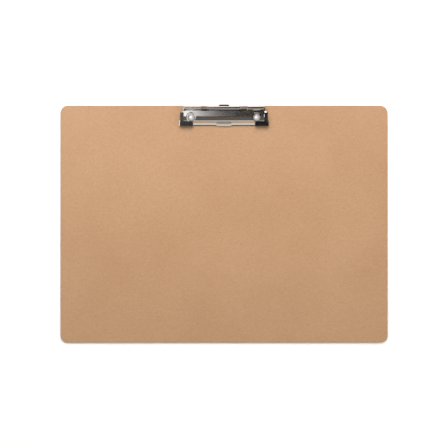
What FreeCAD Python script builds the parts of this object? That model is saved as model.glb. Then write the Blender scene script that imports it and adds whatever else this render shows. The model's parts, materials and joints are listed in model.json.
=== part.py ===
import FreeCAD, Part
import math
import os
import re
import Sketcher

# A3 clipboard, landscape: a hardboard panel with a low sprung clip riveted to the middle
# of one long side.  Millimetres.  Row frame: origin at the middle of the panel's underside,
# +X along the long side, +Y towards the clip, +Z up.
# Clip frame: origin at the middle of the panel's rear top edge, so that depths into the
# panel are negative Y and heights above the panel's face are positive Z.

SIZES = [
    ("board_length", 440, "panel, long side"),
    ("board_depth", 318.5, "panel, short side"),
    ("board_thickness", 3, "hardboard"),
    ("board_corner", 10, "corner radius in plan"),
    ("board_edge", 0.7, "eased edge"),
    ("gauge", 0.8, "sheet steel of both clip plates"),
    ("hinge_setback", 3.8, "hinge axis in from the rear edge"),
    ("barrel_outer", 5.5, "rolled hinge barrel, outside diameter"),
    ("barrel_length", 107, "rolled hinge barrel"),
    ("rod_diameter", 3.8, "hinge rod"),
    ("rod_gap", 0.05, "radial running clearance on the rod"),
    ("rod_head", 4.8, "peened rod end, diameter"),
    ("rod_head_length", 0.8, "peened rod end"),
    ("ear_inside", 54.3, "middle of the clip to an ear's inner face"),
    ("ear_reach", 0.95, "ear's tip in from the rear edge"),
    ("ear_bend", 6.6, "where an ear turns outwards, in from the rear edge"),
    ("ear_join", 9.05, "where it meets the top plate's side, in from the rear edge"),
    ("ear_flare", 2.1, "how far it reaches outwards between the two"),
    ("ear_half_height", 2.65, "ear above and below the hinge axis"),
    ("ear_round", 2, "corner radius of an ear's tip"),
    ("slack", 0.1, "gap between faces that slide past each other"),
    ("overcut", 1, "how far a cutting outline runs past the metal"),
    ("base_half", 52, "base plate, half its length"),
    ("base_front", 21.2, "base plate's front edge in from the rear edge"),
    ("step_line", 9.2, "where the base plate steps up behind"),
    ("step_run", 1, "length of that step"),
    ("step_skew", 0.35, "how far the step's upper bend lags its lower one"),
    ("tab_room", 0.95, "height of the slit for the hanging tab"),
    ("seam_gap", 1, "open seam of the rolled barrel"),
    ("channel_half", 8.9, "tab channel, half its inner width"),
    ("lug_depth", 5.5, "stop lugs' rear face in from the rear edge"),
    ("window_middle", 27, "middle of a spring window"),
    ("window_half", 5, "half the length of a spring window"),
    ("window_front", 11, "front edge of a spring window in from the rear edge"),
    ("bridge_half", 1.6, "half the width of the bridge over a fixed spring leg"),
    ("bridge_rear", 12.4, "bridge's rear edge in from the panel's rear edge"),
    ("bridge_front", 14.6, "bridge's front edge"),
    ("bridge_room", 0.5, "play over the leg under its bridge"),
    ("wire", 0.7, "spring wire diameter"),
    ("coil_mean", 2.35, "mean radius of the spring coils"),
    ("coil_pitch", 0.8, "spring pitch"),
    ("coil_turns", 10.5, "turns of each spring"),
    ("leg_length", 11, "straight legs of each spring"),
    ("leg_lap", 0.1, "a leg's overlap with the coil's end"),
    ("leg_swell", 0.012, "a leg's radius over the coil's, so that it closes over its end"),
    ("rivet_spacing", 88, "between the two rivets"),
    ("rivet_setback", 16.3, "rivets in from the rear edge"),
    ("rivet_head", 10.4, "rivet head diameter"),
    ("rivet_rim", 0.4, "upright rim of a rivet head"),
    ("rivet_rise", 2.3, "rivet head height"),
    ("rivet_shank", 4, "rivet shank diameter"),
    ("recess_diameter", 12, "recess round each rivet tail"),
    ("recess_depth", 1.2, "recess round each rivet tail"),
    ("washer_diameter", 9, "rivet washer"),
    ("washer_thickness", 0.5, "rivet washer"),
    ("tail_diameter", 6.4, "clinched rivet tail"),
    ("tail_thickness", 0.5, "clinched rivet tail"),
    ("clip_half", 60, "half the clip's width"),
    ("clamp_gap", 0.15, "closed jaw above the panel"),
    ("jaw_rear", 7.6, "top plate's rear edge in from the panel's rear edge"),
    ("jaw_front", 21.2, "top plate's front bend"),
    ("jaw_toe", 24.5, "where the front wall would meet the panel"),
    ("jaw_rise", 8, "crown of the top plate"),
    ("crown_setback", 14.8, "top plate's crown in from the panel's rear edge"),
    ("crown_radius", 14, "radius of the crown"),
    ("rear_drop", 0.6, "top plate's rear edge below its crown"),
    ("front_drop", 1, "top plate's front bend below its crown"),
    ("front_radius", 1.8, "radius of the front bend"),
    ("corner_wide", 4, "rear corners cut off the top plate, along X"),
    ("corner_deep", 4.7, "rear corners cut off the top plate, along Y"),
    ("shoulder", 53.6, "where the top plate starts to slope to the sides"),
    ("skirt_top", 58.9, "top of a side skirt"),
    ("skirt_height", 5.1, "height of a side skirt's upper bend"),
    ("lip_half", 41.5, "half the width of the front lip"),
    ("lip_front", 26.4, "lip's edge in from the rear edge"),
    ("lip_tip", 0.85, "underside of the lip's edge"),
    ("lip_rise", 3, "height of the lip's root on the front wall"),
    ("lip_root", 23.2, "lip's root in from the rear edge"),
    ("thumb_half", 10, "half the width of the thumb rise"),
    ("thumb_root", 23.9, "rear foot of the thumb rise in from the rear edge"),
    ("thumb_foot", 2.5, "height of that foot"),
    ("thumb_crest", 24.9, "crest of the thumb rise in from the rear edge"),
    ("thumb_rise", 3.1, "height of the crest"),
    ("thumb_front", 27.7, "thumb rise's front edge in from the rear edge"),
    ("thumb_tip", 1.9, "height of the front edge"),
    ("thumb_round", 1, "corner radius of the thumb rise"),
    ("access_diameter", 13, "holes over the rivet heads"),
    ("access_setback", 15.6, "middle of those holes in from the rear edge"),
    ("cheek_front", 27.5, "front end of the side cheeks"),
    ("cheek_height", 4.1, "height of the side cheeks"),
    ("hook_width", 3, "hook over a moving spring leg"),
    ("hook_reach", 2.2, "how far a hook reaches under its leg's end"),
    ("grip_inside", 42, "inner end of a corner grip's front block"),
    ("grip_wall", 21.9, "rear face of a corner grip's front block"),
    ("grip_rear", 9.6, "rear end of a corner grip's shoulder strip"),
    ("grip_rise", 6.4, "height of a corner grip's front block"),
    ("lip_grip_front", 27.2, "front edge of the strip under the lip"),
    ("lip_grip_rear", 25.2, "rear edge of the strip under the lip"),
    ("strip_inside", 53.9, "inner edge of a corner grip's shoulder strip"),
    ("strip_inner_rise", 7.8, "height of that strip at its inner edge"),
    ("strip_outer_rise", 6.6, "height of that strip at its outer edge"),
    ("tab_half", 6.5, "half the hanging tab's width"),
    ("tab_thickness", 0.7, "hanging tab"),
    ("tab_stop", 1.4, "depth of the tab's stop end"),
    ("tab_front", 20.2, "tab's inner end in from the rear edge"),
    ("tab_shoulder", 8.6, "half the width of the tab's stop end"),
    ("tab_tail", 1.5, "tab's pull end behind the rear edge"),
    ("pull_drop", 2.1, "turned-down pull end below the panel's face"),
    ("slot_half", 4, "hanging slot, half its length"),
    ("slot_half_width", 2.4, "hanging slot, half its width"),
    ("slot_depth", 4.4, "hanging slot's middle in from the rear edge"),
    ("slot_round", 2.1, "corner radius of the hanging slot"),
    ("pull_round", 1.2, "corner radius of the tab's pull end"),
]

DERIVED = [
    ("hinge_rise", "=tab_room + barrel_outer / 2", "hinge axis above the panel"),
    ("barrel_bore", "=barrel_outer / 2 - gauge", "barrel's inner radius"),
    ("ear_hole", "=rod_diameter / 2 + rod_gap", "radius of the ears' rod holes"),
    ("lip_slope", "=(lip_rise - gauge - lip_tip) / (lip_front - lip_root + gauge)",
     "fall of the lip's underside"),
    ("flare_length", "=sqrt(ear_flare * ear_flare + (ear_join - ear_bend) * (ear_join - ear_bend))",
     "length of an ear's outward turn"),
    ("dome_radius", "=((rivet_rise - rivet_rim) * (rivet_rise - rivet_rim)"
     " + rivet_head * rivet_head / 4) / (2 * (rivet_rise - rivet_rim))", "rivet head's dome"),
]

SIDES = {"left": -1, "right": 1}

document = FreeCAD.newDocument("clipboard")
sheet = document.addObject("Spreadsheet::Sheet", "sizes")
for row, (alias, value, note) in enumerate(SIZES + DERIVED, start=1):
    sheet.set("A%d" % row, alias)
    sheet.set("B%d" % row, str(value))
    sheet.set("C%d" % row, note)
    sheet.setAlias("B%d" % row, alias)
document.recompute()

ALIASES = {alias for alias, value, note in SIZES + DERIVED}


def bound(expression):
    """The expression with each size written as a reference to the sheet."""
    def refer(word):
        name = word.group(0)
        return "sizes." + name if name in ALIASES else name
    return re.sub(r"[A-Za-z_]+", refer, str(expression))


def size(expression):
    """The present value of an expression of sizes."""
    return float(sheet.evalExpression(str(expression)))


def new_body(label, in_clip_frame=True):
    """An empty body, placed in the row frame or in the clip frame."""
    body = document.addObject("PartDesign::Body", label)
    body.Label = label
    if in_clip_frame:
        body.setExpression("Placement.Base.y", bound("board_depth / 2"))
        body.setExpression("Placement.Base.z", bound("board_thickness"))
    return body


def new_sketch(body, name, plane, offset="0"):
    """A sketch on one of the body's own planes, moved along the plane's normal."""
    sketch = body.newObject("Sketcher::SketchObject", name)
    origin_plane = next(item for item in body.Origin.OriginFeatures if item.Role == plane)
    sketch.AttachmentSupport = (origin_plane, [""])
    sketch.MapMode = "FlatFace"
    sketch.setExpression("AttachmentOffset.Base.z", bound(offset))
    return sketch


def pin_point(sketch, item, point, across, up):
    """Hold a point of the sketch at a pair of size expressions."""
    for kind, expression in (("DistanceX", across), ("DistanceY", up)):
        index = sketch.addConstraint(
            Sketcher.Constraint(kind, -1, 1, item, point, size(expression)))
        sketch.setExpression("Constraints[%d]" % index, bound(expression))


def arc_between(start, end, radius):
    """The shorter arc that turns left on its way from start to end."""
    chord = end - start
    middle = (start + end) / 2
    inward = FreeCAD.Vector(-chord.y, chord.x, 0).normalize()
    centre = middle + inward * math.sqrt(radius ** 2 - (chord.Length / 2) ** 2)
    angles = [math.atan2(point.y - centre.y, point.x - centre.x) for point in (start, end)]
    return Part.ArcOfCircle(Part.Circle(centre, FreeCAD.Vector(0, 0, 1), radius), *angles)


def draw_outline(sketch, corners, arcs=None):
    """A closed outline through corners given as size expressions.  Its sides are straight,
    but for those in arcs: from the number of a side's first corner to the arc's radius."""
    arcs = arcs or {}
    first = sketch.GeometryCount
    points = [FreeCAD.Vector(size(across), size(up), 0) for across, up in corners]
    for step, (start, end) in enumerate(zip(points, points[1:] + points[:1])):
        side = (arc_between(start, end, size(arcs[step])) if step in arcs
                else Part.LineSegment(start, end))
        sketch.addGeometry(side, False)
    for step in range(len(corners)):
        following = first + (step + 1) % len(corners)
        sketch.addConstraint(Sketcher.Constraint("Coincident", first + step, 2, following, 1))
    for step, (across, up) in enumerate(corners):
        pin_point(sketch, first + step, 1, across, up)
    for step, radius in arcs.items():
        hold_radius(sketch, first + step, radius)


def hold_radius(sketch, item, radius):
    """Hold the radius of a circle or arc at a size expression."""
    index = sketch.addConstraint(Sketcher.Constraint("Radius", item, size(radius)))
    sketch.setExpression("Constraints[%d]" % index, bound(radius))


def draw_circle(sketch, across, up, radius):
    """A circle whose centre and radius are size expressions."""
    centre = FreeCAD.Vector(size(across), size(up), 0)
    item = sketch.addGeometry(
        Part.Circle(centre, FreeCAD.Vector(0, 0, 1), size(radius)), False)
    pin_point(sketch, item, 3, across, up)
    hold_radius(sketch, item, radius)


def box_corners(low_across, high_across, low_up, high_up):
    """The four corners of an upright rectangle."""
    return [(low_across, low_up), (high_across, low_up),
            (high_across, high_up), (low_across, high_up)]


def mirrored(corners):
    """The same outline on the other side of the sketch's upright axis."""
    return [("-(%s)" % across, up) for across, up in corners]


def feature(body, kind, name, sketch, length, side="One side", reversed_way=False):
    """A pad or pocket of a sketch; a pocket or pad that changes nothing is an error."""
    before = body.Shape.Volume if body.Tip else 0.0
    item = body.newObject("PartDesign::" + kind, name)
    item.Profile = sketch
    item.SideType = side
    item.Reversed = reversed_way
    item.setExpression("Length", bound(length))
    document.recompute()
    if abs(body.Shape.Volume - before) < 1e-6:
        raise RuntimeError("%s changes nothing" % name)
    return item


def mid_pad(body, name, plane, corners, length):
    """A pad of one outline, half its length to each side of the plane."""
    sketch = new_sketch(body, name + "_sketch", plane)
    draw_outline(sketch, corners)
    return feature(body, "Pad", name, sketch, length, side="Symmetric")


def upright(body, kind, name, outlines, low, high):
    """A pad or pocket of plan outlines between two heights."""
    sketch = new_sketch(body, name + "_sketch", "XY_Plane", low)
    for corners in outlines:
        draw_outline(sketch, corners)
    return feature(body, kind, name, sketch, "(%s) - (%s)" % (high, low),
                   reversed_way=(kind == "Pocket"))


def round_edges(body, name, radius, wanted):
    """Fillet the edges for which wanted(edge) is true."""
    base = body.Tip
    names = ["Edge%d" % number for number, edge in enumerate(base.Shape.Edges, start=1)
             if wanted(edge)]
    if not names:
        raise RuntimeError("%s finds no edge" % name)
    item = body.newObject("PartDesign::Fillet", name)
    item.Base = (base, names)
    item.setExpression("Radius", bound(radius))
    document.recompute()
    return item


def spans(edge, axis):
    """True for a straight edge along one axis (0, 1 or 2)."""
    if edge.Curve.TypeId != "Part::GeomLine":
        return False
    start, end = [vertex.Point for vertex in edge.Vertexes]
    others = [way for way in range(3) if way != axis]
    return all(abs(start[way] - end[way]) < 1e-6 for way in others)


def make_board():
    """The hardboard panel: rounded corners, rivet holes and recesses for their tails."""
    body = new_body("board", in_clip_frame=False)
    upright(body, "Pad", "panel",
            [box_corners("-board_length / 2", "board_length / 2",
                         "-board_depth / 2", "board_depth / 2")], "0", "board_thickness")
    round_edges(body, "corners", "board_corner", lambda edge: spans(edge, 2))
    faces = (0.0, size("board_thickness"))
    round_edges(body, "eased_edges", "board_edge",
                lambda edge: all(min(abs(vertex.Z - face) for face in faces) < 1e-6
                                 for vertex in edge.Vertexes) and not spans(edge, 2))
    for name, radius, depth in (("rivet_holes", "rivet_shank / 2", "board_thickness"),
                                ("tail_recesses", "recess_diameter / 2", "recess_depth")):
        sketch = new_sketch(body, name + "_sketch", "XY_Plane")
        for side in SIDES.values():
            draw_circle(sketch, "%d * rivet_spacing / 2" % side,
                        "board_depth / 2 - rivet_setback", radius)
        feature(body, "Pocket", name, sketch, depth, reversed_way=True)
    return body


def make_base_plate():
    """The riveted plate: tab channel, raised rear strip rolled into the hinge barrel,
    windows for the springs, stop lugs for the tab and bridges for the fixed spring legs."""
    body = new_body("base_plate")
    mid_pad(body, "stepped_plate", "YZ_Plane",
            [("-base_front", "0"), ("-step_line - step_run", "0"), ("-step_line", "tab_room"),
             ("-hinge_setback", "tab_room"), ("-hinge_setback", "tab_room + gauge"),
             ("-step_line - step_skew", "tab_room + gauge"),
             ("-step_line - step_run - step_skew", "gauge"),
             ("-base_front", "gauge")], "2 * base_half")
    upright(body, "Pad", "channel",
            [box_corners("-channel_half - gauge", "channel_half + gauge",
                         "-base_front", "-step_line")], "0", "tab_room + gauge")
    upright(body, "Pocket", "channel_hollow",
            [box_corners("-channel_half", "channel_half",
                         "-base_front - overcut", "-step_line + slack")],
            "0", "tab_room")
    sketch = new_sketch(body, "barrel_sketch", "YZ_Plane")
    draw_circle(sketch, "-hinge_setback", "hinge_rise", "barrel_outer / 2")
    draw_circle(sketch, "-hinge_setback", "hinge_rise", "barrel_bore")
    feature(body, "Pad", "barrel", sketch, "barrel_length", side="Symmetric")
    seam = new_sketch(body, "seam_sketch", "YZ_Plane")
    draw_outline(seam, box_corners("-hinge_setback - barrel_outer / 2 - overcut",
                                   "-hinge_setback - barrel_bore + gauge / 2",
                                   "tab_room + gauge", "tab_room + gauge + seam_gap"))
    feature(body, "Pocket", "seam", seam, "barrel_length + overcut", side="Symmetric")
    window = box_corners("window_middle - window_half", "window_middle + window_half",
                         "-window_front", "0")
    upright(body, "Pocket", "spring_windows", [window, mirrored(window)],
            "-overcut", "hinge_rise + barrel_outer")
    lug = box_corners("tab_half + 4 * slack", "channel_half + gauge / 2",
                      "-lug_depth - gauge", "-lug_depth")
    upright(body, "Pad", "stop_lugs", [lug, mirrored(lug)], "slack", "tab_room + gauge / 2")
    leg = "(window_middle - coil_pitch * coil_turns / 2)"
    bridge = box_corners(leg + " - bridge_half", leg + " + bridge_half",
                         "-bridge_front", "-bridge_rear")
    upright(body, "Pad", "bridges", [bridge, mirrored(bridge)],
            "gauge / 2", "2 * gauge + wire + bridge_room")
    under = box_corners(leg + " - bridge_half / 2", leg + " + bridge_half / 2",
                        "-bridge_front - overcut", "-bridge_rear + overcut")
    upright(body, "Pocket", "bridge_openings", [under, mirrored(under)],
            "gauge", "gauge + wire + bridge_room")
    holes = new_sketch(body, "rivet_holes_sketch", "XY_Plane")
    for side in SIDES.values():
        draw_circle(holes, "%d * rivet_spacing / 2" % side, "-rivet_setback", "rivet_shank / 2")
    feature(body, "Pocket", "rivet_holes", holes, "2 * gauge", reversed_way=True)
    return body


def make_jaw_plate():
    """The stamped top plate: crowned tray with sloped shoulders, side skirts, ears for the
    rod, holes over the rivets, hooks for the moving spring legs and a turned-up lip."""
    body = new_body("jaw_plate")
    mid_pad(body, "tray", "YZ_Plane",
            [("-jaw_rear", "clamp_gap"), ("-jaw_rear", "jaw_rise - rear_drop"),
             ("-crown_setback", "jaw_rise"), ("-jaw_front", "jaw_rise - front_drop"),
             ("-jaw_toe", "clamp_gap")], "2 * clip_half")
    slope = [("shoulder", "jaw_rise"), ("skirt_top", "skirt_height"), ("clip_half", "0"),
             ("clip_half + overcut", "0"), ("clip_half + overcut", "jaw_rise + overcut"),
             ("shoulder", "jaw_rise + overcut")]
    sides = new_sketch(body, "shoulders_sketch", "XZ_Plane")
    draw_outline(sides, slope)
    draw_outline(sides, mirrored(slope))
    feature(body, "Pocket", "shoulders", sides, "2 * cheek_front", side="Symmetric")
    cut_end = "-jaw_rear - corner_deep * (corner_wide + overcut) / corner_wide"
    corner = [("clip_half - corner_wide", "-jaw_rear"), ("clip_half + overcut", cut_end),
              ("clip_half + overcut", "-jaw_rear + overcut"),
              ("clip_half - corner_wide", "-jaw_rear + overcut")]
    upright(body, "Pocket", "rear_corners", [corner, mirrored(corner)],
            "-overcut", "jaw_rise + overcut")
    top = size("jaw_rise")
    round_edges(body, "front_bend", "front_radius",
                lambda edge: spans(edge, 0) and abs(edge.CenterOfMass.y + size("jaw_front")) < 0.1
                and edge.CenterOfMass.z > top / 2)
    round_edges(body, "crown", "crown_radius",
                lambda edge: spans(edge, 0) and abs(edge.CenterOfMass.z - top) < 1e-3)
    base = body.Tip
    rear, foot = -size("jaw_rear"), size("clamp_gap")
    open_faces = ["Face%d" % number for number, face in enumerate(base.Shape.Faces, start=1)
                  if abs(face.CenterOfMass.z - foot) < 0.01
                  or abs(face.CenterOfMass.y - rear) < 0.01]
    sheet_walls = body.newObject("PartDesign::Thickness", "sheet_walls")
    sheet_walls.Base = (base, open_faces)
    sheet_walls.setExpression("Value", bound("gauge"))
    sheet_walls.Reversed = True
    sheet_walls.Join = "Intersection"
    document.recompute()
    if sheet_walls.Shape.Volume > base.Shape.Volume / 2:
        raise RuntimeError("the tray is not hollow")
    notch = box_corners("lip_half", "skirt_top - 2 * slack",
                        "-jaw_toe - overcut", "-jaw_front + 3 * slack")
    upright(body, "Pocket", "corner_notches", [notch, mirrored(notch)],
            "-overcut", "jaw_rise + overcut")
    cheek = box_corners("clip_half - gauge", "clip_half", "-cheek_front", "-jaw_front + overcut")
    upright(body, "Pad", "cheeks", [cheek, mirrored(cheek)], "clamp_gap", "cheek_height")
    foot = box_corners("-lip_half", "lip_half", "-jaw_toe - overcut", "-jaw_front - slack")
    upright(body, "Pocket", "wall_foot", [foot], "-overcut", "lip_rise - gauge")
    mid_pad(body, "lip", "YZ_Plane",
            [("-lip_root + gauge", "lip_rise"), ("-lip_root", "lip_rise"),
             ("-lip_front", "lip_tip + gauge"), ("-lip_front", "lip_tip"),
             ("-lip_root + gauge", "lip_rise - gauge")], "2 * lip_half")
    mid_pad(body, "thumb_rise", "YZ_Plane",
            [("-thumb_root", "thumb_foot - gauge"), ("-thumb_front", "thumb_tip - gauge"),
             ("-thumb_front", "thumb_tip"), ("-thumb_crest", "thumb_rise"),
             ("-thumb_root", "thumb_foot")],
            "2 * thumb_half")
    round_edges(body, "thumb_corners", "thumb_round",
                lambda edge: spans(edge, 2)
                and abs(edge.CenterOfMass.y + size("thumb_front")) < 0.01)
    inner_x = "ear_inside + gauge + ear_flare - gauge * (ear_join - ear_bend) / flare_length"
    inner_bend = "-ear_bend - gauge * ear_flare / (flare_length + ear_join - ear_bend)"
    ear = [("ear_inside", "-ear_reach"), ("ear_inside + gauge", "-ear_reach"),
           ("ear_inside + gauge", "-ear_bend"), ("ear_inside + gauge + ear_flare", "-ear_join"),
           (inner_x, "-ear_join - gauge * ear_flare / flare_length"), ("ear_inside", inner_bend)]
    upright(body, "Pad", "ears", [ear, mirrored(ear)],
            "hinge_rise - ear_half_height", "hinge_rise + ear_half_height")
    round_edges(body, "ear_tips", "ear_round",
                lambda edge: spans(edge, 0) and abs(edge.CenterOfMass.y + size("ear_reach")) < 0.01)
    rod_hole = new_sketch(body, "rod_holes_sketch", "YZ_Plane")
    draw_circle(rod_hole, "-hinge_setback", "hinge_rise", "ear_hole")
    feature(body, "Pocket", "rod_holes", rod_hole, "2 * clip_half", side="Symmetric")
    access = new_sketch(body, "access_holes_sketch", "XY_Plane", "jaw_rise / 2")
    for side in SIDES.values():
        draw_circle(access, "%d * rivet_spacing / 2" % side, "-access_setback",
                    "access_diameter / 2")
    feature(body, "Pocket", "access_holes", access, "jaw_rise", reversed_way=True)
    foot_top = "hinge_rise + coil_mean - wire / 2 - slack"
    leg_end = "-hinge_setback - leg_length"
    hook_top = "jaw_rise - gauge"
    hook = [(leg_end + " - gauge", hook_top), (leg_end + " - gauge", foot_top + " - gauge"),
            (leg_end + " + hook_reach", foot_top + " - gauge"),
            (leg_end + " + hook_reach", foot_top), (leg_end, foot_top), (leg_end, hook_top)]
    for side_name, side in SIDES.items():
        leg = "%d * (window_middle + coil_pitch * coil_turns / 2)" % side
        sketch = new_sketch(body, "hook_%s_sketch" % side_name, "YZ_Plane", leg)
        draw_outline(sketch, hook)
        feature(body, "Pad", "hook_" + side_name, sketch, "hook_width", side="Symmetric")
    return body


def make_hinge_rod():
    """The hinge rod with a peened head at each end."""
    body = new_body("hinge_rod")
    shank = new_sketch(body, "shank_sketch", "YZ_Plane")
    draw_circle(shank, "-hinge_setback", "hinge_rise", "rod_diameter / 2")
    feature(body, "Pad", "shank", shank, "2 * (ear_inside + gauge + slack)", side="Symmetric")
    for side_name, side in SIDES.items():
        place = "%d * (ear_inside + gauge + slack)" % side
        sketch = new_sketch(body, "head_%s_sketch" % side_name, "YZ_Plane", place)
        draw_circle(sketch, "-hinge_setback", "hinge_rise", "rod_head / 2")
        feature(body, "Pad", "head_" + side_name, sketch, "rod_head_length",
                reversed_way=(side < 0))
    far = size("ear_inside + gauge + slack + rod_head_length")
    round_edges(body, "peened_rims", "rod_head_length / 2",
                lambda edge: abs(abs(edge.CenterOfMass.x) - far) < 0.01
                and edge.Curve.TypeId == "Part::GeomCircle")
    return body


def make_spring(side_name, side):
    """A torsion spring round the rod; both legs point forwards."""
    body = new_body("spring_" + side_name)
    body.setExpression("Placement.Base.x", bound("%d * window_middle" % side))
    body.setExpression("Placement.Base.y", bound("board_depth / 2 - hinge_setback"))
    body.setExpression("Placement.Base.z", bound("board_thickness + hinge_rise"))
    half = "%d * coil_pitch * coil_turns / 2" % side
    section = new_sketch(body, "wire_section", "XZ_Plane")
    draw_circle(section, "-(%s)" % half, "-coil_mean", "wire / 2")
    coil = body.newObject("PartDesign::AdditiveHelix", "coil")
    coil.Profile = section
    coil.ReferenceAxis = (section, ["H_Axis"])
    coil.Mode = "pitch-turns-angle"
    coil.LeftHanded = side > 0
    coil.Reversed = side < 0
    coil.setExpression("Pitch", bound("coil_pitch"))
    coil.setExpression("Turns", bound("coil_turns"))
    document.recompute()
    for name, across, up in (("fixed_leg", "-(%s)" % half, "-coil_mean"),
                             ("moving_leg", half, "coil_mean")):
        sketch = new_sketch(body, name + "_sketch", "XZ_Plane", "-leg_lap")
        draw_circle(sketch, across, up, "wire / 2 + leg_swell")
        feature(body, "Pad", name, sketch, "leg_length - 4 * slack + leg_lap")
    return body


def make_rivet(side_name, side):
    """A domed rivet: head on the base plate, tail clinched under the washer."""
    body = new_body("rivet_" + side_name)
    body.setExpression("Placement.Base.x", bound("%d * rivet_spacing / 2" % side))
    body.setExpression("Placement.Base.y", bound("board_depth / 2 - rivet_setback"))
    shank = "rivet_shank / 2 - rod_gap"
    tail_top = "recess_depth - board_thickness - washer_thickness"
    profile = new_sketch(body, "profile", "XZ_Plane")
    tail_end = tail_top + " - tail_thickness"
    corners = [("0", tail_end), ("tail_diameter / 2", tail_end), ("tail_diameter / 2", tail_top),
               (shank, tail_top), (shank, "gauge"), ("rivet_head / 2", "gauge"),
               ("rivet_head / 2", "gauge + rivet_rim"), ("0", "gauge + rivet_rise")]
    rim = corners.index(("rivet_head / 2", "gauge + rivet_rim"))
    draw_outline(profile, corners, arcs={rim: "dome_radius"})
    turned = body.newObject("PartDesign::Revolution", "turned")
    turned.Profile = profile
    turned.ReferenceAxis = (profile, ["V_Axis"])
    turned.Angle = 360
    document.recompute()
    return body


def make_washer(side_name, side):
    """The washer that the rivet's tail is clinched over."""
    body = new_body("rivet_washer_" + side_name, in_clip_frame=False)
    body.setExpression("Placement.Base.x", bound("%d * rivet_spacing / 2" % side))
    body.setExpression("Placement.Base.y", bound("board_depth / 2 - rivet_setback"))
    body.setExpression("Placement.Base.z", bound("recess_depth - washer_thickness"))
    sketch = new_sketch(body, "ring", "XY_Plane")
    draw_circle(sketch, "0", "0", "washer_diameter / 2")
    draw_circle(sketch, "0", "0", "rivet_shank / 2")
    feature(body, "Pad", "washer", sketch, "washer_thickness")
    return body


def make_hanging_tab():
    """The sliding tab: stop shoulders inside, hanging slot, turned-down pull end."""
    body = new_body("hanging_tab")
    low, high = "slack", "slack + tab_thickness"
    upright(body, "Pad", "strip",
            [box_corners("-tab_half", "tab_half", "-tab_front", "tab_tail")], low, high)
    upright(body, "Pad", "stop_end",
            [box_corners("-tab_shoulder", "tab_shoulder", "-tab_front", "-tab_front + tab_stop")],
            low, high)
    upright(body, "Pad", "pull_end",
            [box_corners("-tab_half", "tab_half", "tab_tail - tab_thickness", "tab_tail")],
            "-pull_drop", high)
    round_edges(body, "pull_bend", "tab_thickness / 2",
                lambda edge: spans(edge, 0) and abs(edge.CenterOfMass.y - size("tab_tail")) < 0.01
                and edge.CenterOfMass.z > 0)
    slot = box_corners("-slot_half", "slot_half", "-slot_depth - slot_half_width",
                       "-slot_depth + slot_half_width")
    upright(body, "Pocket", "hanging_slot", [slot], "-overcut", "overcut")
    round_edges(body, "slot_ends", "slot_round",
                lambda edge: spans(edge, 2)
                and abs(abs(edge.CenterOfMass.x) - size("slot_half")) < 0.01)
    round_edges(body, "pull_corners", "pull_round",
                lambda edge: spans(edge, 1)
                and edge.CenterOfMass.y > size("tab_tail - tab_thickness")
                and edge.CenterOfMass.z < 0)
    return body


def make_lip_grip():
    """The moulded strip under the lip that presses on the paper."""
    body = new_body("lip_grip")
    mid_pad(body, "strip", "YZ_Plane",
            [("-lip_grip_front", "clamp_gap"), ("-lip_grip_rear", "clamp_gap"),
             ("-lip_grip_rear", "lip_tip + lip_slope * (lip_front - lip_grip_rear)"),
             ("-lip_front", "lip_tip"), ("-lip_grip_front", "lip_tip")], "2 * lip_half")
    return body


def make_grip(side_name, side, jaw_plate):
    """A moulded corner grip: a front block beside the lip and a strip along the shoulder,
    fitted to the jaw plate."""
    blank = new_body("grip_blank_" + side_name)

    def on_side(corners):
        return corners if side > 0 else mirrored(corners)

    upright(blank, "Pad", "front_block",
            [on_side(box_corners("grip_inside", "clip_half - gauge",
                                 "-cheek_front", "-grip_wall"))],
            "clamp_gap", "grip_rise")
    strip = new_sketch(blank, "strip_sketch", "XZ_Plane", "grip_rear")
    draw_outline(strip, on_side([("strip_inside", "jaw_rise - front_drop"),
                                 ("skirt_top", "skirt_height - 2 * slack"),
                                 ("skirt_top - slack", "strip_outer_rise"),
                                 ("strip_inside + 3 * slack", "strip_inner_rise")]))
    feature(blank, "Pad", "shoulder_strip", strip, "grip_wall - grip_rear + overcut")
    tool = document.addObject("Part::Cut", "corner_grip_" + side_name)
    tool.Label = "corner_grip_" + side_name
    tool.Base = blank
    tool.Tool = jaw_plate
    document.recompute()
    return tool


def make_everything():
    """Every sub-part, in the order in which the clipboard is put together."""
    jaw_plate = make_jaw_plate()
    parts = [make_board(), make_base_plate(), jaw_plate, make_lip_grip(), make_hinge_rod(),
             make_hanging_tab()]
    for side_name, side in SIDES.items():
        parts.append(make_spring(side_name, side))
        parts.append(make_rivet(side_name, side))
        parts.append(make_washer(side_name, side))
        parts.append(make_grip(side_name, side, jaw_plate))
    return parts


def check_and_write(parts):
    """Stop on a failed object or a bad shape, then write each sub-part's file."""
    document.recompute()
    for item in document.Objects:
        if "Invalid" in item.State or "Error" in item.State:
            raise RuntimeError("%s failed: %s" % (item.Label, item.State))
    for part in parts:
        shape = part.Shape
        if shape.isNull() or not shape.isValid() or len(shape.Solids) != 1:
            raise RuntimeError("%s is not one valid solid" % part.Label)
    os.makedirs("parts", exist_ok=True)
    for part in parts:
        part.Shape.exportStep("parts/%s.step" % part.Label)
        print("%-22s %9.1f mm3" % (part.Label, part.Shape.Volume))


check_and_write(make_everything())
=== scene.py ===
import json
import math

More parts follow.
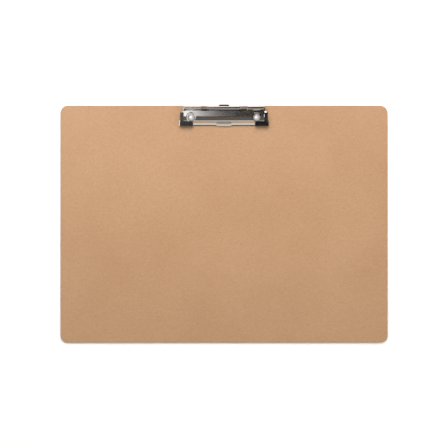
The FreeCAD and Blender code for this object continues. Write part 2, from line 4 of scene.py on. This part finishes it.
import bmesh
import bpy
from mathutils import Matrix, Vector


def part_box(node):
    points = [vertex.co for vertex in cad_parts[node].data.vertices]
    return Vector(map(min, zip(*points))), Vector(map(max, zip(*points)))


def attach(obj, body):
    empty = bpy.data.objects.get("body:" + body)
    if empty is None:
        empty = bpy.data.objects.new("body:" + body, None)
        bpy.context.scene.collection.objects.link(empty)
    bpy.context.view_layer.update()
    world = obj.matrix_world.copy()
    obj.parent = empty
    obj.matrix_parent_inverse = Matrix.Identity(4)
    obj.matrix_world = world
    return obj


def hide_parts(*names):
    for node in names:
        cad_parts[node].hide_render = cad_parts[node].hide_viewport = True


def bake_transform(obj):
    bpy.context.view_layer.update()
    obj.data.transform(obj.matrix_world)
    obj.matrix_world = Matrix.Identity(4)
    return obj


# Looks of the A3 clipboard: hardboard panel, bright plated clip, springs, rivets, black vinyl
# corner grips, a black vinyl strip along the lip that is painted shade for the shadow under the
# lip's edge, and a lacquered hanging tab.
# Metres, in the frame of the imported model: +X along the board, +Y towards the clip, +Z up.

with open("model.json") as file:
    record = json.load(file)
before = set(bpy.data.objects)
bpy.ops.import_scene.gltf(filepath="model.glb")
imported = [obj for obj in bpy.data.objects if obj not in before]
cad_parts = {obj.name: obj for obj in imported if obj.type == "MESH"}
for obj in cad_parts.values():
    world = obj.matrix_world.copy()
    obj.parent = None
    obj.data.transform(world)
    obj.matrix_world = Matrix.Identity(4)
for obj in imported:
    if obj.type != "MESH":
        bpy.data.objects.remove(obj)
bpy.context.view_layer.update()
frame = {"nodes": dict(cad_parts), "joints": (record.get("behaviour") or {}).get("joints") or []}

MM = 0.001
BOARD_LOW, BOARD_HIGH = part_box("board")
BOARD_TOP = BOARD_HIGH.z
HINGE_POINT = Vector(next(joint["pos_m"] for joint in frame["joints"]
                          if joint["name"] == "jaw_lift"))
SIDES = {"left": -1, "right": 1}

# the wound wire of the torsion springs
WIRE_RADIUS = 0.35 * MM
WIRE_SIDES = 14
WIRE_STEPS = 320
COIL_TURNS = 10.5

# how CAD meshes are merged, softened and creased
MERGE_DISTANCE = 0.002 * MM
FLAT_ANGLE = math.radians(1.0)
SOFTENED_ANGLE = math.radians(28.0)
CREASE_ANGLE = math.radians(48.0)

# hardboard: depth of the sawn edge's change of colour, and its matted fibres
EDGE_DEPTH = 0.5 * MM
FIBRE_DIRECTIONS = 5
FIBRE_WIDTH_TO_LENGTH = 0.2
FIBRE_CURL = 2.4 * MM

# studio
FLOOR_HALF = 6.0
VIEW_SPAN = 0.6026
VIEW_HEIGHT = 2.2
ROOM_LEAN = math.radians(25.0)

# sockets of a mix node that mixes colours
MIX_FACTOR, MIX_FIRST, MIX_SECOND, MIX_RESULT = 0, 6, 7, 2


# ---------------------------------------------------------------- node tree helpers

def new_material(name):
    """An empty node material, with its tree and its principled shader."""
    material = bpy.data.materials.new(name)
    material.use_nodes = True
    tree = material.node_tree
    shader = tree.nodes["Principled BSDF"]
    return material, tree, shader


def add_node(tree, kind, inputs=None, **settings):
    """A node with its settings and with its inputs set or linked by name or number."""
    node = tree.nodes.new(kind)
    for name, value in settings.items():
        setattr(node, name, value)
    for key, value in (inputs or {}).items():
        socket = node.inputs[key]
        if isinstance(value, bpy.types.NodeSocket):
            tree.links.new(value, socket)
        else:
            socket.default_value = value
    return node


def object_point(tree, scale=(1, 1, 1)):
    """Object coordinates, stretched by a scale."""
    coordinates = add_node(tree, "ShaderNodeTexCoord")
    mapping = add_node(tree, "ShaderNodeMapping",
                       {"Vector": coordinates.outputs["Object"], "Scale": scale})
    return mapping.outputs["Vector"]


def noise(tree, point, scale, detail=3.0, roughness=0.55):
    """A noise value between 0 and 1 on the given coordinates."""
    node = add_node(tree, "ShaderNodeTexNoise",
                    {"Vector": point, "Scale": scale, "Detail": detail, "Roughness": roughness})
    return node.outputs["Fac"]


def ramp(tree, value, stops):
    """A colour ramp through (position, colour) stops."""
    node = add_node(tree, "ShaderNodeValToRGB", {"Fac": value})
    elements = node.color_ramp.elements
    while len(elements) < len(stops):
        elements.new(0.5)
    for element, (position, colour) in zip(elements, stops):
        element.position = position
        element.color = (*colour, 1.0)
    return node.outputs["Color"]


def mix(tree, factor, first, second):
    """Two colours mixed by a factor."""
    first, second = ((*value, 1.0) if isinstance(value, tuple) else value
                     for value in (first, second))
    node = add_node(tree, "ShaderNodeMix",
                    {MIX_FACTOR: factor, MIX_FIRST: first, MIX_SECOND: second},
                    data_type="RGBA")
    return node.outputs[MIX_RESULT]


def remap(tree, value, old_range, new_range):
    """A value moved from one range to another, held inside it."""
    node = add_node(tree, "ShaderNodeMapRange",
                    {"Value": value, "From Min": old_range[0], "From Max": old_range[1],
                     "To Min": new_range[0], "To Max": new_range[1]})
    return node.outputs["Result"]


def math_node(tree, operation, first, second=0.0):
    """One arithmetic step."""
    return add_node(tree, "ShaderNodeMath", {0: first, 1: second}, operation=operation).outputs[0]


def attribute(tree, name):
    """A number stored on the mesh."""
    return add_node(tree, "ShaderNodeAttribute", attribute_name=name).outputs["Fac"]


def bump(tree, height, distance, strength=1.0, below=None):
    """A bump of a height pattern, on top of another bump."""
    inputs = {"Height": height, "Distance": distance, "Strength": strength}
    if below is not None:
        inputs["Normal"] = below
    return add_node(tree, "ShaderNodeBump", inputs).outputs["Normal"]


def colour(red, green, blue):
    """A colour given as it looks on screen, from 0 to 255, as linear light."""
    def linear(value):
        share = value / 255
        return share / 12.92 if share <= 0.04045 else ((share + 0.055) / 1.055) ** 2.4
    return linear(red), linear(green), linear(blue)


# ---------------------------------------------------------------- materials

def matted_fibres(tree, point):
    """Masks of pale and of dark wood fibres that lie curled together in all directions."""
    curl = add_node(tree, "ShaderNodeTexNoise", {"Vector": point, "Scale": 260.0, "Detail": 2.0})
    centred = add_node(tree, "ShaderNodeVectorMath",
                       {0: curl.outputs["Color"], 1: (0.5, 0.5, 0.5)}, operation="SUBTRACT")
    bent = add_node(tree, "ShaderNodeVectorMath",
                    {0: centred.outputs["Vector"], 1: (FIBRE_CURL,) * 3, 2: point},
                    operation="MULTIPLY_ADD")
    pale, dark = 0.0, 0.0
    for layer in range(FIBRE_DIRECTIONS):
        turn = math.pi * (layer + 0.3) / FIBRE_DIRECTIONS
        laid = add_node(tree, "ShaderNodeMapping",
                        {"Vector": bent.outputs["Vector"], "Location": (0.0, 0.0, 0.1 * layer),
                         "Rotation": (0.0, 0.0, turn), "Scale": (1.0, FIBRE_WIDTH_TO_LENGTH, 1.0)},
                        vector_type="TEXTURE")
        strand = noise(tree, laid.outputs["Vector"], 210.0 + 30.0 * layer,
                       detail=3.0, roughness=0.6)
        pale = math_node(tree, "MAXIMUM", pale, remap(tree, strand, (0.57, 0.7), (0.0, 1.0)))
        dark = math_node(tree, "MAXIMUM", dark, remap(tree, strand, (0.43, 0.3), (0.0, 1.0)))
    return pale, dark


def hardboard_material():
    """Smooth pressed hardboard: fibre flecks, faint clouding, darker sawn edges."""
    material, tree, shader = new_material("hardboard")
    plain = object_point(tree)
    cloud = noise(tree, plain, 9.0, detail=3.0)
    pale_fibres, dark_fibres = matted_fibres(tree, plain)
    grain = noise(tree, plain, 1400.0, detail=2.0, roughness=0.6)
    base = ramp(tree, cloud, [(0.3, colour(170, 132, 98)), (0.7, colour(177, 140, 106))])
    dark = mix(tree, math_node(tree, "MULTIPLY", dark_fibres, 0.34), base, colour(138, 99, 68))
    pale = mix(tree, math_node(tree, "MULTIPLY", pale_fibres, 0.34), dark, colour(200, 168, 136))
    grained = mix(tree, remap(tree, grain, (0.35, 0.65), (0.0, 0.16)), pale, colour(120, 84, 57))
    specks = add_node(tree, "ShaderNodeTexVoronoi", {"Vector": plain, "Scale": 95.0})
    speck_size = remap(tree, specks.outputs["Distance"], (0.04, 0.1), (1.0, 0.0))
    speck_choice = remap(tree, specks.outputs["Color"], (0.74, 0.8), (0.0, 0.5))
    speck = math_node(tree, "MULTIPLY", speck_size, speck_choice)
    face_colour = mix(tree, speck, grained, colour(96, 64, 40))
    layers = noise(tree, object_point(tree, (1.0, 1.0, 12.0)), 320.0, detail=4.0, roughness=0.65)
    edge_colour = ramp(tree, layers, [(0.3, colour(112, 78, 52)), (0.7, colour(152, 112, 80))])
    edge = attribute(tree, "sawn_edge")
    tree.links.new(mix(tree, edge, face_colour, edge_colour), shader.inputs["Base Color"])
    sheen = remap(tree, cloud, (0.3, 0.7), (0.44, 0.52))
    edge_gain = math_node(tree, "MULTIPLY", edge, 0.35)
    tree.links.new(math_node(tree, "ADD", sheen, edge_gain), shader.inputs["Roughness"])
    fine = bump(tree, pale_fibres, distance=0.015 * MM, strength=0.5)
    tree.links.new(bump(tree, grain, distance=0.02 * MM, strength=0.5, below=fine),
                   shader.inputs["Normal"])
    return material


def plated_material(name, tint, smoothest, dullest, brushing, metallic=1.0):
    """Bright plated steel: faint drawing lines, smudges and hairline scratches."""
    material, tree, shader = new_material(name)
    plain = object_point(tree)
    lines = noise(tree, object_point(tree, (0.04, 1.0, 1.0)), 5200.0, detail=3.0, roughness=0.6)
    smudge = noise(tree, plain, 45.0, detail=4.0, roughness=0.6)
    scratches = noise(tree, object_point(tree, (0.3, 1.0, 1.0)), 1100.0,
                      detail=6.0, roughness=0.75)
    scratched = remap(tree, scratches, (0.68, 0.72), (0.0, 1.0))
    dull = tuple(value * 0.9 for value in tint)
    shade = mix(tree, remap(tree, smudge, (0.35, 0.75), (0.0, 1.0)), tint, dull)
    tree.links.new(shade, shader.inputs["Base Color"])
    shader.inputs["Metallic"].default_value = metallic
    smooth_or_dull = remap(tree, smudge, (0.3, 0.75), (smoothest, dullest))
    scratch_gain = math_node(tree, "MULTIPLY", scratched, 0.06)
    tree.links.new(math_node(tree, "ADD", smooth_or_dull, scratch_gain),
                   shader.inputs["Roughness"])
    tree.links.new(bump(tree, lines, distance=0.0006 * MM * brushing, strength=0.5),
                   shader.inputs["Normal"])
    return material


def vinyl_material():
    """Glossy black moulded vinyl: very fine orange peel, dust and handling marks; on the lip strip
    its black is painted shade under the lip's edge.
    """
    material, tree, shader = new_material("black_vinyl")
    plain = object_point(tree)
    handling = noise(tree, plain, 180.0, detail=4.0, roughness=0.6)
    dust = noise(tree, plain, 2600.0, detail=2.0, roughness=0.5)
    black = mix(tree, remap(tree, dust, (0.64, 0.72), (0.0, 0.35)),
                colour(7, 7, 8), colour(30, 29, 28))
    tree.links.new(black, shader.inputs["Base Color"])
    tree.links.new(remap(tree, handling, (0.3, 0.7), (0.16, 0.34)), shader.inputs["Roughness"])
    peel = noise(tree, plain, 700.0, detail=2.0, roughness=0.5)
    tree.links.new(bump(tree, peel, distance=0.012 * MM, strength=0.3), shader.inputs["Normal"])
    shader.inputs["Specular IOR Level"].default_value = 0.6
    return material


def lacquer_material():
    """Black lacquered steel: slight ripple, rubbed patches, fine grit."""
    material, tree, shader = new_material("tab_lacquer")
    plain = object_point(tree)
    rubbed = noise(tree, plain, 320.0, detail=5.0, roughness=0.6)
    black = mix(tree, remap(tree, rubbed, (0.62, 0.75), (0.0, 0.6)),
                colour(22, 22, 24), colour(74, 72, 70))
    tree.links.new(black, shader.inputs["Base Color"])
    tree.links.new(remap(tree, rubbed, (0.3, 0.7), (0.3, 0.48)), shader.inputs["Roughness"])
    grit = noise(tree, plain, 3000.0, detail=2.0, roughness=0.5)
    tree.links.new(bump(tree, grit, distance=0.006 * MM, strength=0.4), shader.inputs["Normal"])
    return material


def floor_material():
    """A plain pale floor with the faintest mottling."""
    material, tree, shader = new_material("pale_floor")
    cloud = noise(tree, object_point(tree), 2.0, detail=2.0)
    pale = ramp(tree, cloud, [(0.3, (0.94, 0.94, 0.94)), (0.7, (0.96, 0.96, 0.96))])
    tree.links.new(pale, shader.inputs["Base Color"])
    shader.inputs["Roughness"].default_value = 0.9
    return material


# ---------------------------------------------------------------- meshes

def finish_mesh(name, mesh_data, material, body, replaced):
    """A piece at the origin with its material, body and the CAD nodes it stands for."""
    piece = bpy.data.objects.new(name, mesh_data)
    bpy.context.collection.objects.link(piece)
    mesh_data.materials.clear()
    mesh_data.materials.append(material)
    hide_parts(*replaced)
    if body is not None:
        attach(piece, body)
    return piece


def joined_copy(node):
    """A bmesh of a CAD node with its corners merged and its flat faces made whole."""
    shape = bmesh.new()
    shape.from_mesh(frame["nodes"][node].data)
    bmesh.ops.remove_doubles(shape, verts=shape.verts, dist=MERGE_DISTANCE)
    bmesh.ops.dissolve_limit(shape, angle_limit=FLAT_ANGLE, verts=shape.verts,
                             edges=shape.edges, delimit={"NORMAL"})
    return shape


def evaluated_mesh(name, mesh_data, kind, values):
    """The plain mesh that one modifier makes out of another mesh."""
    carrier = bpy.data.objects.new(name + "_carrier", mesh_data)
    bpy.context.collection.objects.link(carrier)
    modifier = carrier.modifiers.new(name, kind)
    for key, value in values.items():
        if kind == "NODES" and key != "node_group":
            modifier[key] = value
        else:
            setattr(modifier, key, value)
    depsgraph = bpy.context.evaluated_depsgraph_get()
    made = bpy.data.meshes.new_from_object(carrier.evaluated_get(depsgraph),
                                           preserve_all_data_layers=True, depsgraph=depsgraph)
    made.name = name
    bpy.data.objects.remove(carrier)
    bpy.data.meshes.remove(mesh_data)
    return made


def shaded_mesh(name, shape):
    """The bmesh as a mesh whose flat faces look flat and whose bends look round."""
    bmesh.ops.triangulate(shape, faces=shape.faces)
    mesh_data = bpy.data.meshes.new(name + "_plain")
    shape.to_mesh(mesh_data)
    shape.free()
    mesh_data.shade_smooth()
    mesh_data.set_sharp_from_angle(angle=CREASE_ANGLE)
    return evaluated_mesh(name, mesh_data, "WEIGHTED_NORMAL",
                          {"keep_sharp": True, "weight": 100, "mode": "FACE_AREA"})


def pressed_copy(node, material, body, edge_width):
    """The CAD node with softened edges, as pressed, cast or moulded pieces have."""
    shape = joined_copy(node)
    sharp = [edge for edge in shape.edges
             if len(edge.link_faces) == 2 and edge.calc_face_angle() > SOFTENED_ANGLE]
    bmesh.ops.bevel(shape, geom=sharp, offset=edge_width, segments=3, profile=0.5,
                    affect="EDGES", clamp_overlap=True)
    name = node + "_finished"
    finish_mesh(name, shaded_mesh(name, shape), material, body, [node])


def board_piece(material):
    """The board with its sawn sides marked for the material."""
    shape = joined_copy("board")
    mark = shape.verts.layers.float.new("sawn_edge")
    for vertex in shape.verts:
        inside = min(vertex.co.z - BOARD_LOW.z, BOARD_HIGH.z - vertex.co.z)
        vertex[mark] = min(1.0, inside / EDGE_DEPTH)
    name = "board_finished"
    finish_mesh(name, shaded_mesh(name, shape), material, "root", ["board"])


def spring_tree():
    """A node tree that winds a wire: straight leg, coils along X, straight leg."""
    tree = bpy.data.node_groups.new("torsion_spring", "GeometryNodeTree")
    sockets = tree.interface
    sockets.new_socket("Geometry", in_out="INPUT", socket_type="NodeSocketGeometry")
    for name in ("Side", "Coil Radius", "Wire Radius", "Turns", "Width", "Leg Length"):
        sockets.new_socket(name, in_out="INPUT", socket_type="NodeSocketFloat")
    sockets.new_socket("Centre", in_out="INPUT", socket_type="NodeSocketVector")
    sockets.new_socket("Steps", in_out="INPUT", socket_type="NodeSocketInt")
    sockets.new_socket("Material", in_out="INPUT", socket_type="NodeSocketMaterial")
    sockets.new_socket("Geometry", in_out="OUTPUT", socket_type="NodeSocketGeometry")
    given = tree.nodes.new("NodeGroupInput").outputs
    radius, leg = given["Coil Radius"], given["Leg Length"]
    arc = math_node(tree, "MULTIPLY", math_node(tree, "MULTIPLY", given["Turns"], 2 * math.pi),
                    radius)
    whole = math_node(tree, "ADD", arc, math_node(tree, "MULTIPLY", leg, 2.0))
    share = tree.nodes.new("GeometryNodeSplineParameter").outputs["Factor"]
    run = math_node(tree, "MULTIPLY", share, whole)
    past_leg = math_node(tree, "SUBTRACT", run, leg)
    wound = math_node(tree, "MINIMUM", math_node(tree, "MAXIMUM", past_leg, 0.0), arc)
    before = math_node(tree, "MAXIMUM", math_node(tree, "MULTIPLY", past_leg, -1.0), 0.0)
    after = math_node(tree, "MAXIMUM", math_node(tree, "SUBTRACT", past_leg, arc), 0.0)
    angle = math_node(tree, "DIVIDE", wound, radius)
    round_y = math_node(tree, "MULTIPLY", math_node(tree, "SINE", angle), radius)
    round_z = math_node(tree, "MULTIPLY", math_node(tree, "COSINE", angle), radius)
    place_y = math_node(tree, "SUBTRACT", round_y, math_node(tree, "ADD", before, after))
    along = math_node(tree, "SUBTRACT", math_node(tree, "DIVIDE", wound, arc), 0.5)
    reach = math_node(tree, "MULTIPLY", given["Width"], given["Side"])
    place = add_node(tree, "ShaderNodeCombineXYZ",
                     {"X": math_node(tree, "MULTIPLY", along, reach), "Y": place_y,
                      "Z": math_node(tree, "MULTIPLY", round_z, -1.0)})
    moved = add_node(tree, "ShaderNodeVectorMath",
                     {0: place.outputs[0], 1: given["Centre"]}, operation="ADD")
    line = add_node(tree, "GeometryNodeCurvePrimitiveLine", {"End": (1.0, 0.0, 0.0)})
    points = add_node(tree, "GeometryNodeResampleCurve",
                      {"Curve": line.outputs["Curve"], "Count": given["Steps"]})
    path = add_node(tree, "GeometryNodeSetPosition",
                    {"Geometry": points.outputs["Curve"], "Position": moved.outputs["Vector"]})
    section = add_node(tree, "GeometryNodeCurvePrimitiveCircle",
                       {"Resolution": WIRE_SIDES, "Radius": given["Wire Radius"]})
    wire = add_node(tree, "GeometryNodeCurveToMesh",
                    {"Curve": path.outputs["Geometry"], "Profile Curve": section.outputs["Curve"],
                     "Fill Caps": True})
    real = add_node(tree, "GeometryNodeRealizeInstances", {"Geometry": wire.outputs["Mesh"]})
    coated = add_node(tree, "GeometryNodeSetMaterial",
                      {"Geometry": real.outputs["Geometry"], "Material": given["Material"]})
    add_node(tree, "NodeGroupOutput", {"Geometry": coated.outputs["Geometry"]})
    return tree


def spring_piece(side_name, side, tree, material):
    """A torsion spring, which winds up as the jaw lifts, built here as a still wire mesh."""
    node = "spring_" + side_name
    low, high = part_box(node)
    fixed_x = min(abs(low.x), abs(high.x)) + WIRE_RADIUS
    moving_x = max(abs(low.x), abs(high.x)) - WIRE_RADIUS
    values = {"Side": float(side), "Coil Radius": (high.z - low.z) / 2 - WIRE_RADIUS,
              "Wire Radius": WIRE_RADIUS, "Turns": COIL_TURNS, "Width": moving_x - fixed_x,
              "Leg Length": HINGE_POINT.y - low.y, "Steps": WIRE_STEPS, "Material": material,
              "Centre": (side * (fixed_x + moving_x) / 2, HINGE_POINT.y, HINGE_POINT.z)}
    settings = {"node_group": tree}
    for item in tree.interface.items_tree:
        if item.in_out == "INPUT" and item.name in values:
            settings[item.identifier] = values[item.name]
    mesh_data = evaluated_mesh(node + "_wire", bpy.data.meshes.new("empty"), "NODES", settings)
    mesh_data.shade_smooth()
    piece = finish_mesh(node + "_wire", mesh_data, material, None, [node])
    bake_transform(piece)


def make_object():
    """Every visible piece of the clipboard."""
    chrome = plated_material("bright_plate", tint=(0.76, 0.735, 0.71), smoothest=0.11,
                             dullest=0.14, brushing=0.15)
    nickel = plated_material("rivet_nickel", tint=(0.95, 0.94, 0.92), smoothest=0.3,
                             dullest=0.4, brushing=0.6, metallic=0.6)
    drawn_steel = plated_material("drawn_steel", tint=(0.58, 0.57, 0.56), smoothest=0.22,
                                  dullest=0.34, brushing=2.0)
    spring_wire = plated_material("spring_wire", tint=(0.44, 0.43, 0.42), smoothest=0.20,
                                  dullest=0.30, brushing=1.0)
    zinc = plated_material("washer_zinc", tint=(0.62, 0.64, 0.66), smoothest=0.28,
                           dullest=0.42, brushing=3.0)
    vinyl = vinyl_material()
    winding = spring_tree()
    board_piece(hardboard_material())
    pressed_copy("base_plate", chrome, "root", 0.08 * MM)
    pressed_copy("jaw_plate", chrome, "jaw", 0.14 * MM)
    pressed_copy("hanging_tab", lacquer_material(), "tab", 0.08 * MM)
    # the black vinyl strip along the jaw's lip is painted shade: a dark piece standing for the
    # shadow line under the lip's edge
    pressed_copy("lip_grip", vinyl, "jaw", 0.1 * MM)
    pressed_copy("hinge_rod", drawn_steel, "root", 0.05 * MM)
    for side_name, side in SIDES.items():
        pressed_copy("rivet_" + side_name, nickel, "root", 0.1 * MM)
        pressed_copy("rivet_washer_" + side_name, zinc, "root", 0.06 * MM)
        pressed_copy("corner_grip_" + side_name, vinyl, "jaw", 0.7 * MM)
        spring_piece(side_name, side, winding, spring_wire)


# ---------------------------------------------------------------- stage

def make_floor():
    """A wide pale floor under the board."""
    mesh_data = bpy.data.meshes.new("floor")
    corners = [(across * FLOOR_HALF, along * FLOOR_HALF, 0.0)
               for across, along in ((-1, -1), (1, -1), (1, 1), (-1, 1))]
    mesh_data.from_pydata(corners, [], [(0, 1, 2, 3)])
    floor = bpy.data.objects.new("floor", mesh_data)
    bpy.context.collection.objects.link(floor)
    mesh_data.materials.append(floor_material())


def soft_light(name, place, target, width, height, watts, tint=(1.0, 1.0, 1.0), mirrored=True):
    """A rectangular softbox aimed at a point; bright metal may be kept from mirroring it."""
    data = bpy.data.lights.new(name, "AREA")
    data.shape = "RECTANGLE"
    data.size = width
    data.size_y = height
    data.energy = watts
    data.color = tint
    light = bpy.data.objects.new(name, data)
    bpy.context.collection.objects.link(light)
    light.location = place
    aim = Vector(target) - Vector(place)
    light.rotation_euler = aim.to_track_quat("-Z", "Y").to_euler()
    light.visible_glossy = mirrored


def make_lights():
    """A key from behind the clip, a panel that the plating mirrors, and a fill from the right."""
    soft_light("key", place=(-0.12, 0.86, 0.95), target=(0.0, 0.05, 0.0),
               width=1.2, height=0.8, watts=21.3, tint=(0.98, 0.99, 1.0), mirrored=False)
    soft_light("panel", place=(-0.62, 0.53, 1.5), target=(-0.62, 0.53, 0.0),
               width=1.1, height=0.82, watts=5.0)
    soft_light("fill", place=(1.2, 0.1, 0.9), target=(0.0, 0.0, 0.0),
               width=0.8, height=0.8, watts=5.0, tint=(1.0, 0.99, 0.98))


def make_world():
    """A soft studio room: dark overhead and behind the clip, pale in front and at the sides."""
    world = bpy.data.worlds.new("studio")
    bpy.context.scene.world = world
    world.use_nodes = True
    tree = world.node_tree
    background = tree.nodes["Background"]
    direction = add_node(tree, "ShaderNodeTexCoord").outputs["Generated"]
    nearness = add_node(tree, "ShaderNodeVectorMath",
                        {0: direction, 1: (0.0, math.sin(ROOM_LEAN), math.cos(ROOM_LEAN))},
                        operation="DOT_PRODUCT")
    walls = ramp(tree, nearness.outputs["Value"],
                 [(0.3, (0.88, 0.825, 0.75)), (0.5, (0.68, 0.64, 0.58)),
                  (0.7, (0.17, 0.155, 0.140)), (0.84, (0.11, 0.094, 0.080)),
                  (0.95, (0.020, 0.015, 0.014))])
    tree.links.new(walls, background.inputs["Color"])


def make_camera():
    """Straight above the board, far enough off to show next to no perspective."""
    data = bpy.data.cameras.new("camera")
    data.sensor_width = 36.0
    data.lens = data.sensor_width * VIEW_HEIGHT / VIEW_SPAN
    camera = bpy.data.objects.new("camera", data)
    bpy.context.collection.objects.link(camera)
    camera.location = (0.0, 0.0, BOARD_TOP + VIEW_HEIGHT)
    bpy.context.scene.camera = camera


make_object()
make_floor()
make_world()
make_camera()
make_lights()
bpy.context.scene.view_settings.view_transform = "Standard"
